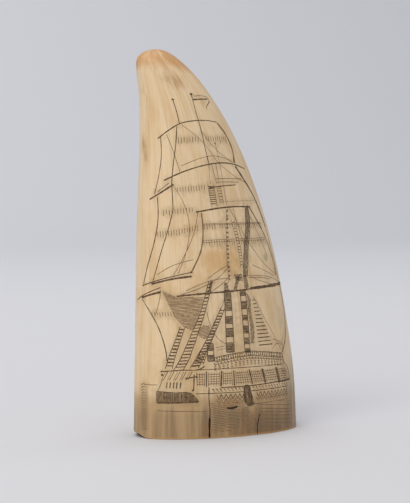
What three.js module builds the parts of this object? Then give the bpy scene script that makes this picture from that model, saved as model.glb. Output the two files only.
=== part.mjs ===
// Scrimshaw whale tooth: one natural tooth, cut flat at the root so that it stands on end.
// Millimetres, +Z up. The broad, engraved side faces -Y and the tip leans towards -X.
import * as THREE from 'three';

// ---- driving dimensions ----
const toothHeight = 160;
const ringSegments = 84; // points round every ring
const ringStep = 6; // ring spacing below the crown
const crownStart = 138; // above this height the rings close up towards the tip
const crownRings = 10;

// Section of the tooth by height: the hollow edge, the bowed edge and half the thickness.
const sections = [
  { z: 0, hollowEdge: -37.8, bowedEdge: 37.8, halfDepth: 19.6 },
  { z: 20, hollowEdge: -37.3, bowedEdge: 36.6, halfDepth: 20.1 },
  { z: 50, hollowEdge: -36.6, bowedEdge: 32, halfDepth: 19.8 },
  { z: 80, hollowEdge: -36.2, bowedEdge: 25.1, halfDepth: 18.2 },
  { z: 105, hollowEdge: -35.3, bowedEdge: 16.4, halfDepth: 16.2 },
  { z: 125, hollowEdge: -34.7, bowedEdge: 6.9, halfDepth: 14.2 },
  { z: 140, hollowEdge: -35, bowedEdge: -3, halfDepth: 12 },
  { z: 150, hollowEdge: -36.3, bowedEdge: -11.5, halfDepth: 9.6 },
  { z: 155, hollowEdge: -36.7, bowedEdge: -17.3, halfDepth: 7.6 },
  { z: 158, hollowEdge: -34.7, bowedEdge: -21.6, halfDepth: 5.3 },
  { z: toothHeight, hollowEdge: -28, bowedEdge: -28, halfDepth: 0 },
];

// Shallow grooves that run up the root and die out.
const fluteCount = 16;
const fluteDepth = 0.35;
const fluteTop = 30;
const fluteSpread = 0.8; // radians of uneven spacing

// Pulp cavity, open at the root: centre and half widths by height.
const cavity = [
  { z: 0, centreX: 0, halfWidth: 31.2, halfDepth: 13.2 },
  { z: 8, centreX: -0.3, halfWidth: 28, halfDepth: 12 },
  { z: 18, centreX: -0.8, halfWidth: 22.5, halfDepth: 9.9 },
  { z: 30, centreX: -1.4, halfWidth: 15.5, halfDepth: 7.1 },
  { z: 41, centreX: -1.9, halfWidth: 8.6, halfDepth: 4.1 },
  { z: 48, centreX: -2.2, halfWidth: 3.6, halfDepth: 1.8 },
];
const cavityApex = { z: 51, x: -2.3 };
const cavityRingSteps = [0, 3.5, 8, 13, 18, 24, 30, 36, 41, 45, 48];

// Chip broken from the standing edge near the hollow end: angle round the rim, height lost.
const chip = [
  { degrees: 165, height: 0 },
  { degrees: 170, height: 1 },
  { degrees: 176, height: 1.6 },
  { degrees: 184, height: 1.9 },
  { degrees: 192, height: 2 },
  { degrees: 196.5, height: 1.8 },
  { degrees: 200, height: 1.1 },
  { degrees: 203.5, height: 0.4 },
  { degrees: 206.5, height: 0 },
];
const chipReach = 0.55; // share of the rim's width that the chip cuts back
const rimBand = 4.5; // height over which the rim's rings follow the chip

const ivoryColour = '#d3b48a';
const ivoryRoughness = 0.42;

// ---- geometry helpers ----

// Smooth value of one column of a table at a place along it, without overshoot.
function smoothAt(table, place, key, at) {
  const places = table.map(place);
  const values = table.map((row) => row[key]);
  const last = table.length - 1;
  const gap = (i) => places[i + 1] - places[i];
  const rise = (i) => (values[i + 1] - values[i]) / gap(i);
  const slope = (i) => {
    if (i === 0) return rise(0);
    if (i === last) return rise(last - 1);
    const before = rise(i - 1);
    const after = rise(i);
    if (before * after <= 0) return 0;
    const w1 = 2 * gap(i) + gap(i - 1);
    const w2 = gap(i) + 2 * gap(i - 1);
    return (w1 + w2) / (w1 / before + w2 / after);
  };
  let i = 0;
  while (i < last - 1 && at > places[i + 1]) i += 1;
  const h = gap(i);
  const t = (at - places[i]) / h;
  const t2 = t * t;
  const t3 = t2 * t;
  return (2 * t3 - 3 * t2 + 1) * values[i] + (t3 - 2 * t2 + t) * h * slope(i)
    + (3 * t2 - 2 * t3) * values[i + 1] + (t3 - t2) * h * slope(i + 1);
}

// Rows are spaced by the root of the distance below the tip, which rounds the crown.
const fromTip = (z) => -Math.sqrt(toothHeight - z);
const sectionAt = (key, z) => smoothAt(sections, (row) => fromTip(row.z), key, fromTip(z));
const cavityAt = (key, z) => smoothAt(cavity, (row) => row.z, key, z);

function chipHeight(angle) {
  const degrees = THREE.MathUtils.radToDeg(angle);
  for (let i = 0; i + 1 < chip.length; i += 1) {
    const a = chip[i];
    const b = chip[i + 1];
    if (degrees >= a.degrees && degrees <= b.degrees) {
      return THREE.MathUtils.mapLinear(degrees, a.degrees, b.degrees, a.height, b.height);
    }
  }
  return 0;
}

// How far a flute cuts in at this angle and height.
function fluteCut(angle, z) {
  const fade = 1 - THREE.MathUtils.smoothstep(z, 0, fluteTop);
  const wave = Math.cos(fluteCount * angle + fluteSpread * Math.sin(2 * angle));
  const uneven = 0.75 + 0.25 * Math.cos(4 * angle);
  return fluteDepth * fade * uneven * (1 - wave) / 2;
}

// Point of the outer surface; near the foot the heights are lifted clear of the chip.
function skinPoint(angle, z) {
  const lift = z < rimBand ? chipHeight(angle) * (1 - z / rimBand) : 0;
  const height = z + lift;
  const low = sectionAt('hollowEdge', height);
  const high = sectionAt('bowedEdge', height);
  const cut = fluteCut(angle, height);
  const x = (low + high) / 2 + ((high - low) / 2 - cut) * Math.cos(angle);
  const y = (sectionAt('halfDepth', height) - cut) * Math.sin(angle);
  return new THREE.Vector3(x, y, height);
}

function cavityPoint(angle, z) {
  const x = cavityAt('centreX', z) + cavityAt('halfWidth', z) * Math.cos(angle);
  return new THREE.Vector3(x, cavityAt('halfDepth', z) * Math.sin(angle), z);
}

const ringAngles = Array.from({ length: ringSegments }, (_, i) => (2 * Math.PI * i) / ringSegments);

// Flat foot between the cavity's mouth and the outer edge, where the chip starts.
function footRing() {
  return ringAngles.map((angle) => {
    const mouth = cavityPoint(angle, 0);
    const edge = skinPoint(angle, 0).setZ(0);
    return mouth.lerp(edge, 1 - chipReach);
  });
}

function skinRings() {
  const heights = [0, rimBand / 2];
  for (let z = rimBand; z < crownStart - ringStep / 2; z += ringStep) heights.push(z);
  const rootSpan = Math.sqrt(toothHeight - crownStart);
  for (let i = 0; i < crownRings; i += 1) {
    const root = rootSpan * (1 - i / crownRings);
    heights.push(toothHeight - root * root);
  }
  return heights.map((z) => ringAngles.map((angle) => skinPoint(angle, z)));
}

// Closed body from rings that run from one pole, through the mouth, to the other pole.
function loftBetweenPoles(startPole, rings, endPole) {
  const positions = [startPole, ...rings.flat(), endPole].flatMap((p) => [p.x, p.y, p.z]);
  const n = ringSegments;
  const lastPole = 1 + rings.length * n;
  const faces = [];
  for (let j = 0; j < n; j += 1) {
    const next = (j + 1) % n;
    faces.push(0, 1 + next, 1 + j);
    for (let r = 0; r + 1 < rings.length; r += 1) {
      const a = 1 + r * n + j;
      const b = 1 + r * n + next;
      faces.push(a, b + n, a + n);
      faces.push(a, b, b + n);
    }
    const top = 1 + (rings.length - 1) * n;
    faces.push(top + j, top + next, lastPole);
  }
  const geometry = new THREE.BufferGeometry();
  geometry.setAttribute('position', new THREE.Float32BufferAttribute(positions, 3));
  geometry.setIndex(faces);
  geometry.computeVertexNormals();
  return geometry;
}

// ---- the tooth ----
const cavityRings = cavityRingSteps
  .map((z) => ringAngles.map((angle) => cavityPoint(angle, z)))
  .reverse();
const cavityPole = new THREE.Vector3(cavityApex.x, 0, cavityApex.z);
const tip = new THREE.Vector3(sectionAt('hollowEdge', toothHeight), 0, toothHeight);

const tooth = new THREE.Mesh(
  loftBetweenPoles(cavityPole, [...cavityRings, footRing(), ...skinRings()], tip),
  new THREE.MeshStandardMaterial({ color: ivoryColour, roughness: ivoryRoughness, metalness: 0 }),
);
tooth.name = 'tooth';

const group = new THREE.Group();
group.name = 'scrimshaw_whale_tooth';
group.add(tooth);

export default group;
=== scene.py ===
# Scrimshaw whale tooth: the finished skin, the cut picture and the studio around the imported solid.
import math
import random

import bpy
import numpy as np
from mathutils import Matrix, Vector, geometry
from mathutils.bvhtree import BVHTree
from mathutils.kdtree import KDTree


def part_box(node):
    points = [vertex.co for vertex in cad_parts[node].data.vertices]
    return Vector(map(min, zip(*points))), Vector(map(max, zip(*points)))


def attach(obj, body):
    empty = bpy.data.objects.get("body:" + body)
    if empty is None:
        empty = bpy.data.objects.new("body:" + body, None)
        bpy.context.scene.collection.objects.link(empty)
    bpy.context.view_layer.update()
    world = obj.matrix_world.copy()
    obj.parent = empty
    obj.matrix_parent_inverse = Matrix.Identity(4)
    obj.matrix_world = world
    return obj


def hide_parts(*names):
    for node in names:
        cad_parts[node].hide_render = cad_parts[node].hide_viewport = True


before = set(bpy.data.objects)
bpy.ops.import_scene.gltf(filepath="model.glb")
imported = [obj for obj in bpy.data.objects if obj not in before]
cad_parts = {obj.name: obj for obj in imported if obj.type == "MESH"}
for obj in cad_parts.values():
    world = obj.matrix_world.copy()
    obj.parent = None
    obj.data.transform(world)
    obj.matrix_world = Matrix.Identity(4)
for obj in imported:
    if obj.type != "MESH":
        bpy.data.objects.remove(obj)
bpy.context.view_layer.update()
mm = 0.001
lowCorner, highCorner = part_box("tooth")
toothHeight = highCorner.z / mm


def linearColour(hexText):
    channels = [int(hexText[i:i + 2], 16) / 255 for i in (1, 3, 5)]
    linear = [c / 12.92 if c <= 0.04045 else ((c + 0.055) / 1.055) ** 2.4 for c in channels]
    return (*linear, 1.0)


def addNode(tree, kind, settings=None, inputs=None):
    # an input takes a value, a hex colour, a socket to link, or a node whose first output is linked
    node = tree.nodes.new(kind)
    for name, value in (settings or {}).items():
        setattr(node, name, value)
    for name, value in (inputs or {}).items():
        if isinstance(value, bpy.types.Node):
            tree.links.new(value.outputs[0], node.inputs[name])
        elif isinstance(value, bpy.types.NodeSocket):
            tree.links.new(value, node.inputs[name])
        elif isinstance(value, str):
            node.inputs[name].default_value = linearColour(value)
        else:
            node.inputs[name].default_value = value
    return node


def curveThrough(places, values, at):
    # smooth curve through rows of values, read at new places
    slopes = np.gradient(values, places, axis=0)
    i = np.clip(np.searchsorted(places, at, side="right") - 1, 0, len(places) - 2)
    shape = (-1,) + (1,) * (values.ndim - 1)
    gap = (places[i + 1] - places[i]).reshape(shape)
    t = ((at - places[i]) / (places[i + 1] - places[i])).reshape(shape)
    return ((2 * t**3 - 3 * t**2 + 1) * values[i] + (t**3 - 2 * t**2 + t) * gap * slopes[i]
            + (3 * t**2 - 2 * t**3) * values[i + 1] + (t**3 - t**2) * gap * slopes[i + 1])


camera = {
    "lens": 120,            # mm on a 36 mm sensor: a long lens, so the uprights stay parallel
    "azimuth": -28,         # degrees round from square on, towards the hollow edge
    "elevation": 2.7,
    "distance": 0.705,
    "target": (-0.0054, 0, 0.0761),
}


def buildCamera():
    data = bpy.data.cameras.new("camera")
    data.lens = camera["lens"]
    data.sensor_width = 36
    turn = math.radians(camera["azimuth"])
    rise = math.radians(camera["elevation"])
    back = Vector((math.sin(turn) * math.cos(rise), -math.cos(turn) * math.cos(rise), math.sin(rise)))
    seat = bpy.data.objects.new("camera", data)
    seat.location = Vector(camera["target"]) + back * camera["distance"]
    seat.rotation_euler = back.to_track_quat("Z", "Y").to_euler()
    bpy.context.scene.collection.objects.link(seat)
    bpy.context.scene.camera = seat


buildCamera()
print("camera set")


# the skin takes its form from the solid, in finer rows
skin = {
    "rowStep": 1.0,         # mm between the rows the form is kept at
    "columns": 721,         # places round each row
    "crownFrom": 150,       # mm; above it the skin closes in rings
    "crownRings": 9,
    "crownPoints": 97,      # places round the lowest of those rings
    "seamPoints": 70,       # places up the seam at the back
    "footRound": 0.45,      # mm, worn edge round the cut root
    "netSpacing": 1.7,      # mm between the free points of the skin's net
    "backSpacing": 2.6,
    "frontReach": 56,       # mm each side of the front line that gets the finer net
}

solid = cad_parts["tooth"]
solidTree = BVHTree.FromObject(solid, bpy.context.evaluated_depsgraph_get())
farOut = 0.2


def hitSolid(outside, towards):
    return solidTree.ray_cast(outside, towards)[0]


def solidRows():
    # heights of the solid's own rings above its foot, and how many corners each has
    corners = [v.co for v in solid.data.vertices]
    onBow = {round(c.z, 5) for c in corners if abs(c.y) < 1e-5 and c.z > 4 * mm
             and c.z < highCorner.z - 0.01 * mm
             and hitSolid(Vector((farOut, 0, c.z)), Vector((-1, 0, 0))).x - c.x < 1e-5}
    ringHeight = sorted(onBow)[len(onBow) // 2]
    ring = {(round(c.x, 5), round(c.y, 5)) for c in corners if abs(c.z - ringHeight) < 1e-5}
    return sorted(onBow), len(ring)


def readRing(z, count):
    low = hitSolid(Vector((-farOut, 0, z)), Vector((1, 0, 0))).x
    high = hitSolid(Vector((farOut, 0, z)), Vector((-1, 0, 0))).x
    middle = Vector(((low + high) / 2, 0, z))
    halfDepth = hitSolid(middle + Vector((0, farOut, 0)), Vector((0, -1, 0))).y
    ring = []
    for k in range(count + 1):
        turn = 2 * math.pi * k / count - math.pi
        towards = Vector(((high - low) / 2 * math.sin(turn), -halfDepth * math.cos(turn), 0)).normalized()
        spot = hitSolid(middle + towards * farOut, -towards)
        ring.append((spot.x / mm, spot.y / mm))
    return ring


def fromTip(z):
    return -np.sqrt(np.maximum(toothHeight - np.asarray(z, float), 0))


def readForm():
    # the solid's outside as a fine grid: rows by height, columns by share of the way round
    heights, count = solidRows()
    rings = np.array([readRing(z, count) for z in heights])
    heights = np.array(heights) / mm
    foot = rings[0] + (rings[0] - rings[1]) * heights[0] / (heights[1] - heights[0])
    tip = np.repeat(rings[-1].mean(0)[None], count + 1, 0)
    apex = max((v.co for v in solid.data.vertices), key=lambda c: c.z)
    tip[:] = (apex.x / mm, apex.y / mm)
    rings = np.concatenate([foot[None], rings, tip[None]])
    heights = np.concatenate([[0], heights, [toothHeight]])
    turns = np.linspace(-180, 180, count + 1)
    wrapped = np.concatenate([rings[:, -4:-1], rings, rings[:, 1:4]], 1)
    step = turns[1] - turns[0]
    before, after = turns[0] + step * np.arange(-3, 0), turns[-1] + step * np.arange(1, 4)
    wrappedTurns = np.concatenate([before, turns, after])
    fineTurns = np.linspace(-180, 180, skin["columns"])
    around = curveThrough(wrappedTurns, wrapped.transpose(1, 0, 2), fineTurns).transpose(1, 0, 2)
    crown = toothHeight - (np.sqrt(toothHeight - skin["crownFrom"]) * np.linspace(1, 0, 41)) ** 2
    rows = np.concatenate([np.arange(0, skin["crownFrom"], skin["rowStep"]), crown])
    grid = curveThrough(fromTip(heights), around, fromTip(rows))
    lowX, highX = lowCorner.x / mm, highCorner.x / mm
    grid[..., 0] = np.clip(grid[..., 0], lowX, highX)
    grid[..., 1] = np.clip(grid[..., 1], lowCorner.y / mm, highCorner.y / mm)
    # spread the columns evenly by distance round the tooth
    steps = np.linalg.norm(np.diff(grid, axis=1), axis=2)
    walked = np.concatenate([np.zeros((len(rows), 1)), np.cumsum(steps, 1)], 1)
    middleColumn = skin["columns"] // 2
    halfGirth = (walked[:, -1]) / 2
    even = np.empty_like(grid)
    share = np.linspace(-1, 1, skin["columns"])
    for r in range(len(rows)):
        reach = walked[r] - walked[r, middleColumn]
        for axis in (0, 1):
            even[r, :, axis] = np.interp(share * halfGirth[r], reach, grid[r, :, axis])
    points = np.dstack([even, np.repeat(rows[:, None], skin["columns"], 1)])
    alongRow = np.gradient(points, axis=1)
    alongRow[:, 0] = alongRow[:, -1] = points[:, 1] - points[:, -2]
    upColumn = np.gradient(points, axis=0)
    normals = np.cross(alongRow, upColumn)
    normals[-1] = (0, 0, 1)
    size = np.linalg.norm(normals, axis=2, keepdims=True)
    normals = normals / np.maximum(size, 1e-9)
    return rows, halfGirth, points, normals


formRows, formHalfGirth, formPoints, formNormals = readForm()
print("form read from the solid:", len(formRows), "rows")


def halfGirthAt(z):
    return np.interp(z, formRows, formHalfGirth)


def formMiddle(z):
    return np.interp(z, formRows, formPoints[..., 0].mean(1))


def onSkin(s, z):
    # points and normals for places given as mm round from the front line and mm up
    s = np.asarray(s, float)
    z = np.asarray(z, float)
    row = np.interp(z, formRows, np.arange(len(formRows)))
    column = (s / np.maximum(halfGirthAt(z), 1e-6) + 1) / 2 * (skin["columns"] - 1)
    column = np.clip(column, 0, skin["columns"] - 1)
    r = np.minimum(row.astype(int), len(formRows) - 2)
    c = np.minimum(column.astype(int), skin["columns"] - 2)
    fr = (row - r)[:, None]
    fc = (column - c)[:, None]
    blend = lambda g: ((g[r, c] * (1 - fc) + g[r, c + 1] * fc) * (1 - fr)
                       + (g[r + 1, c] * (1 - fc) + g[r + 1, c + 1] * fc) * fr)
    normals = blend(formNormals)
    return blend(formPoints), normals / np.linalg.norm(normals, axis=1, keepdims=True)


foot = {
    # chip out of the standing edge at the hollow end: mm round, mm of height lost
    "chip": [(-68, 0), (-60, 0.8), (-57, 1.2), (-53.5, 1.5), (-50.6, 1.7), (-48.4, 1.9), (-46.6, 1.95),
             (-45.8, 1.75), (-44.4, 1.7), (-43.2, 1.25), (-41.9, 0.7), (-40.4, 0.3), (-38.6, 0)],
    "chipReach": 3.2,       # mm that the break runs in under the tooth
    "edgeSpacing": 0.8,
    "cavityMiddle": -2.3,   # mm, where the pulp cavity's deepest point lies along X
    "cavityLevels": (0.0, 0.25, 2, 5, 9, 14, 19, 24, 29, 34, 39, 43, 46.5),     # mm up its wall
}


def chipAt(s):
    places, heights = zip(*foot["chip"])
    return np.interp(s, places, heights)


strokes = []        # each: outline, spine, slot, depth; mm on the unrolled skin
handWork = random.Random(7)
cutDepth = {"ink": 0.14, "wornInk": 0.08, "crack": 0.9}


def pathThrough(points, step=1.3, ends=0.0):
    points = np.array(points, float)
    walked = np.concatenate([[0], np.cumsum(np.linalg.norm(np.diff(points, axis=0), axis=1))])
    at = np.linspace(0, walked[-1], max(2, math.ceil(walked[-1] / step) + 1))
    if ends:
        ends = min(ends, walked[-1] * 0.3)
        inside = at[(at > ends * 1.3) & (at < walked[-1] - ends * 1.3)]
        at = np.concatenate([[0, ends], inside, [walked[-1] - ends, walked[-1]]])
    return curveThrough(walked, points, at)


def cutLine(points, width, slot="ink", depth=None):
    # one pull of the knife: pointed at both ends, never quite even in width
    path = pathThrough(points, ends=width * 0.7)
    along = np.gradient(path, axis=0)
    along /= np.linalg.norm(along, axis=1, keepdims=True)
    side = np.stack([-along[:, 1], along[:, 0]], 1)
    half = np.array([handWork.uniform(0.8, 1.2) for _ in path])[:, None] * width / 2
    left = (path + side * half)[1:-1]
    right = (path - side * half)[1:-1]
    outline = [path[0], *left, path[-1], *right[::-1]]
    strokes.append({"outline": [tuple(p) for p in outline][::-1], "spine": [tuple(p) for p in path],
                    "slot": slot, "depth": depth or cutDepth[slot]})


def cutDot(s, z, width, height=None, slot="ink"):
    # a pricked dot: six corners round a sunk middle
    height = height or width
    turn = handWork.uniform(0, 1)
    angles = [turn + k * math.pi / 3 for k in range(6)]
    corners = [(s + width / 2 * math.cos(a), z + height / 2 * math.sin(a)) for a in angles]
    strokes.append({"outline": corners, "spine": [(s, z)], "slot": slot, "depth": cutDepth[slot]})


def alongPath(points, spacing):
    # even places along a curve, with the direction there
    path = pathThrough(points, step=0.5)
    walked = np.concatenate([[0], np.cumsum(np.linalg.norm(np.diff(path, axis=0), axis=1))])
    count = max(1, round(walked[-1] / spacing))
    at = np.linspace(0, walked[-1], count + 1)
    return np.stack([np.interp(at, walked, path[:, 0]), np.interp(at, walked, path[:, 1])], 1)


def cutTicks(points, spacing, length, lean=0.0, width=0.26, slot="wornInk"):
    # reef points: short strokes that hang from a line
    for s, z in alongPath(points, spacing):
        long = length * handWork.uniform(0.75, 1.15)
        cutLine([(s, z), (s + lean * long, z - long)], width, slot)


def cutDots(points, spacing, size, slot="ink"):
    for s, z in alongPath(points, spacing):
        s += handWork.uniform(-0.08, 0.08)
        z += handWork.uniform(-0.08, 0.08)
        cutDot(s, z, size * handWork.uniform(0.8, 1.2), slot=slot)


def cutLadder(left, right, spacing, rung=0.3, rail=0.3, slot="ink", railSlot=None):
    # two rails and the ropes or battens between them
    longest = max(len(alongPath(left, spacing)), len(alongPath(right, spacing)))
    for line in (left, right):
        if rail:
            cutLine(line, rail, railSlot or slot)
    lengthOf = lambda line: float(np.linalg.norm(np.diff(pathThrough(line, 0.5), axis=0), axis=1).sum())
    a = alongPath(left, lengthOf(left) / (longest - 1))
    b = alongPath(right, lengthOf(right) / (longest - 1))
    for p, q in list(zip(a, b))[1:-1]:
        cutLine([tuple(p), tuple(q)], rung * handWork.uniform(0.8, 1.25), slot)


def cutHatch(shape, spacing, degrees, width=0.26, slot="ink", outline=None):
    # parallel strokes that fill a shape
    shape = np.array(shape, float)
    turn = math.radians(degrees)
    along = np.array([math.cos(turn), math.sin(turn)])
    across = np.array([-along[1], along[0]])
    heights = shape @ across
    level = heights.min() + spacing * 0.5
    while level < heights.max():
        crossings = []
        for a, b in zip(shape, np.roll(shape, -1, 0)):
            ha, hb = a @ across - level, b @ across - level
            if (ha < 0) != (hb < 0):
                spot = a + (b - a) * ha / (ha - hb)
                crossings.append(spot @ along)
        crossings.sort()
        for start, stop in zip(crossings[::2], crossings[1::2]):
            trim = handWork.uniform(0, 0.12)
            if stop - start > 0.5 + 2 * trim:
                ends = [tuple(along * place + across * level) for place in (start + trim, stop - trim)]
                cutLine(ends, width, slot)
        level += spacing * handWork.uniform(0.85, 1.15)
    if outline:
        corners = [tuple(p) for p in shape]
        for a, b in zip(corners, corners[1:] + corners[:1]):
            cutLine([a, b], outline, slot)


def between(left, right, low, high):
    # the quad between two edges, from one share of their length to another
    a = pathThrough(left, 0.5)
    b = pathThrough(right, 0.5)
    at = lambda path, share: tuple(path[round(share * (len(path) - 1))])
    return [at(a, low), at(b, low), at(b, high), at(a, high)]


# full-rigged ship seen from the quarter, a plain traditional figure; (mm round, mm up)
ship = {
    "fine": 0.24, "plain": 0.36, "strong": 0.55,    # widths of cut, mm
    "poles": [
        {"line": [(-7.6, 139), (-8.1, 134), (-8.7, 129.3)], "ball": 0.9},
        {"line": [(1.5, 141.3), (0.2, 134), (-0.2, 128), (-0.8, 119), (-0.9, 113)], "ball": 1.1},
        {"line": [(4.6, 121.3), (4.3, 110), (3.8, 101.5), (3.6, 96)], "ball": 0.7, "slot": "wornInk",
         "width": 0.2},
    ],
    "yards": [
        {"line": [(-19.8, 123), (-14, 126.5), (-8.5, 129.2), (-2, 130.4), (4, 130.6), (9.2, 130)],
         "width": 0.4},
        {"line": [(-21, 106.2), (-12, 109.8), (-1, 112.6), (4, 113.2), (12.5, 112.6), (19, 110.9)],
         "width": 0.5, "balls": 0.8},
        {"line": [(-29, 98.4), (-25, 100.4), (-18, 104.3)], "width": 0.6, "balls": 0.8},
        {"line": [(-25, 101.3), (-19.5, 105)], "width": 0.24},
        {"line": [(-3.2, 103), (4, 103.8), (10.6, 104.2)], "width": 0.42},
        {"line": [(-10.3, 93.2), (0, 94.7), (8, 95.2), (16, 95)], "width": 0.6, "balls": 1.0},
        {"line": [(-38.3, 63), (-30, 65.5), (-24, 67), (-16.5, 68.6)], "width": 0.4, "balls": 0.9},
        {"line": [(-33.5, 63.8), (-24, 66), (-17, 66.9)], "width": 0.75, "balls": 1.0},
        {"line": [(-44, 56.5), (-38, 59.3), (-30, 62.4)], "width": 0.4},
        {"line": [(-40, 57.8), (-35, 59.3), (-30, 60.6)], "width": 0.8},
        {"line": [(-23.5, 58.9), (-10, 60), (0, 60.5), (9, 61.1)], "width": 0.7, "balls": 0.7},
        {"line": [(9, 61.3), (22, 61.9), (34, 62.4)], "width": 1.3},
    ],
    "leeches": [
        {"line": [(-18.2, 124), (-19.8, 117), (-23.5, 107), (-26.5, 100.5)], "width": 0.3},
        {"line": [(9.2, 130), (12.6, 124.5), (13.7, 118), (12.6, 113)], "width": 1.0, "slot": "wornInk"},
        {"line": [(12.6, 112), (17, 105.5), (21, 99.5), (24.2, 92.5), (26.4, 86)], "width": 0.95},
        {"line": [(26.4, 86), (27.8, 77), (29, 70), (30, 64)], "width": 0.6, "slot": "wornInk"},
        {"line": [(-10.2, 128.2), (-12.8, 121), (-16.2, 112), (-18.3, 105), (-19.4, 98), (-20, 94)],
         "width": 0.36},
        {"line": [(-20, 94), (-23, 87), (-27, 78.5), (-33, 65)], "width": 0.34},
        {"line": [(-25.4, 99.5), (-27, 90), (-30.5, 80), (-35, 70.5), (-38, 63.5)], "width": 0.4},
        {"line": [(-8.5, 93), (-8.8, 87.5), (-11, 78), (-16.5, 68.5)], "width": 0.6, "slot": "wornInk"},
        {"line": [(15.8, 95), (20, 88.5), (24, 82), (27, 74), (28.4, 66)], "width": 0.6},
        {"line": [(-39.5, 57.5), (-36, 52.5), (-33, 47), (-31, 40.5), (-30.2, 36), (-30, 31)], "width": 0.42},
        {"line": [(31, 62), (32, 55), (32, 49), (31, 43), (28.5, 37.3), (25.6, 33.4)], "width": 0.8,
         "slot": "wornInk"},
    ],
    "arcs": [       # heads and feet of sails that bulge between the yards
        [(-13, 112), (-3.2, 115.3), (2, 116.1), (8, 115), (12, 113.3)],
        [(1, 106.7), (8, 106.8), (15, 106.6)],
        [(1, 105.3), (7, 105.4), (12, 105.2)],
        [(-31, 67.5), (-25, 70.8), (-20, 72.6), (-15, 73.8)],
        [(-19.8, 61), (-14, 63.4), (-8, 65.2), (0, 66)],
        [(-17, 60.8), (-12, 62.8), (-7, 64.4)],
        [(9, 66.6), (17, 66.3), (23, 65.3), (31, 62.8)],
        [(9, 65.8), (16, 65.6), (22, 64.7)],
        [(12, 71), (18, 68.8), (26, 65.8)],
        [(-10, 66), (-5, 69), (0.3, 71.6)],
        [(-12, 52.5), (-11, 47), (-9, 42.5), (-7, 40.2), (-4.6, 38.8)],
        [(19.5, 39.6), (23, 38.6), (26.5, 36.5), (25.7, 33.2)],
        [(19, 35.5), (22, 37.6), (25.5, 36.8)],
        [(-9.5, 37.4), (-5, 38.2)],
        [(-9, 36.4), (-5, 37.1)],
    ],
    "reefs": [      # line, length of the points, lean, and whether the band itself is cut
        {"line": [(-11, 123.6), (-2.5, 124)], "long": 2.5, "lean": -0.3},
        {"line": [(1, 124.2), (11.5, 124.2)], "long": 2.6, "lean": -0.15},
        {"line": [(-16.5, 103.2), (-5, 104.3)], "long": 2.2, "lean": -0.1},
        {"line": [(-24, 94), (-12, 95.2)], "long": 2.3, "lean": -0.1},
        {"line": [(-28, 85.3), (-20, 86), (-11, 88)], "long": 2.5, "lean": -0.1},
        {"line": [(-8.3, 88.3), (8, 88.5), (22, 88.4)], "long": 2.2, "lean": 0.05, "band": 0.5},
        {"line": [(-9.6, 81.6), (8, 82), (23, 82)], "long": 2.4, "lean": 0.05, "band": 0.9},
        {"line": [(-35, 52.4), (-25.8, 52.4)], "long": 2.0, "lean": 0.1},
    ],
    "stays": [      # fine lines of running rigging and creases in the sails
        [(-8, 128.8), (-1.4, 122), (3.5, 113.4)],
        [(-0.6, 126.5), (4.4, 118.5), (11.5, 113.4)],
        [(-15.5, 125), (-14.6, 117), (-14, 109.4)],
        [(3.8, 113), (10.5, 108), (18.6, 104.4)],
        [(-0.8, 113), (-1.8, 108), (-2, 104.5)],
        [(0.4, 113), (0.6, 108), (0.9, 104.5)],
        [(2.4, 113), (2.2, 108), (1.9, 104.5)],
        [(-18, 104), (-15.2, 97), (-14.4, 89), (-17, 78), (-22, 68)],
        [(-10, 93), (-12.4, 86), (-17.4, 77), (-24, 67.4)],
        [(4.6, 94.6), (8.6, 86), (13.6, 78), (20.5, 70.5), (28.4, 66)],
        [(13.6, 94.4), (17.2, 87), (20.4, 80), (23, 74)],
        [(6.4, 94.6), (7.6, 87), (9.2, 79)],
        [(-0.6, 70), (-5, 66.4), (-12, 62.8), (-22, 59.4)],
        [(0.4, 67), (-4.4, 63.4), (-9.4, 60.4)],
        [(8.6, 67), (14.5, 64.6), (22, 62.6)],
        [(-30, 61.6), (-31.5, 56), (-33.6, 51)],
        [(10.4, 58), (14.5, 50.5), (19.4, 43), (24.6, 35)],
        [(26.2, 38), (28.8, 41.6), (30.8, 46)],
        [(-9.8, 46), (-7.6, 50.5), (-5.2, 54.4), (-3.6, 58)],
        [(-16.4, 30.8), (-13.4, 36.6), (-10.6, 41.6), (-8.4, 46)],
    ],
    "shades": [     # the sail in shadow and its lower corner
        {"shape": [(-30, 61.3), (-24, 58.8), (-12.6, 58.3), (-14.2, 53), (-17, 46.5), (-18.6, 44.4),
                   (-22.5, 46.5), (-25.5, 50), (-27.5, 55)], "lean": 4, "width": 0.34},
        {"shape": [(-17.3, 44.3), (-14.2, 46.8), (-11.2, 46.8), (-10.6, 43.5), (-12.6, 41), (-15.5, 41.6)],
         "lean": 10, "width": 0.36},
    ],
    "pennant": {"hoist": (1.0, 139.0), "fly": 8.6, "drop": 1.5, "tail": 3.8},
}


def cutPennant():
    # two edges and a swallow tail
    pennant = ship["pennant"]
    s, z = pennant["hoist"]
    fly, drop, tail = pennant["fly"], pennant["drop"], pennant["tail"]
    cutLine([(s, z), (s + fly * 0.5, z + 0.35), (s + fly, z + 0.5)], ship["strong"])
    end = s + fly
    cutLine([(s + 1.2, z + drop), (s + fly * 0.6, z + drop + 0.3), (end, z + drop)], ship["fine"], "wornInk")
    cutLine([(end, z + drop), (end + 0.8, z), (end - 1, z - tail * 0.4), (end - 3, z - tail * 0.75),
             (end - 3, z - tail)], ship["plain"])


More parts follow.
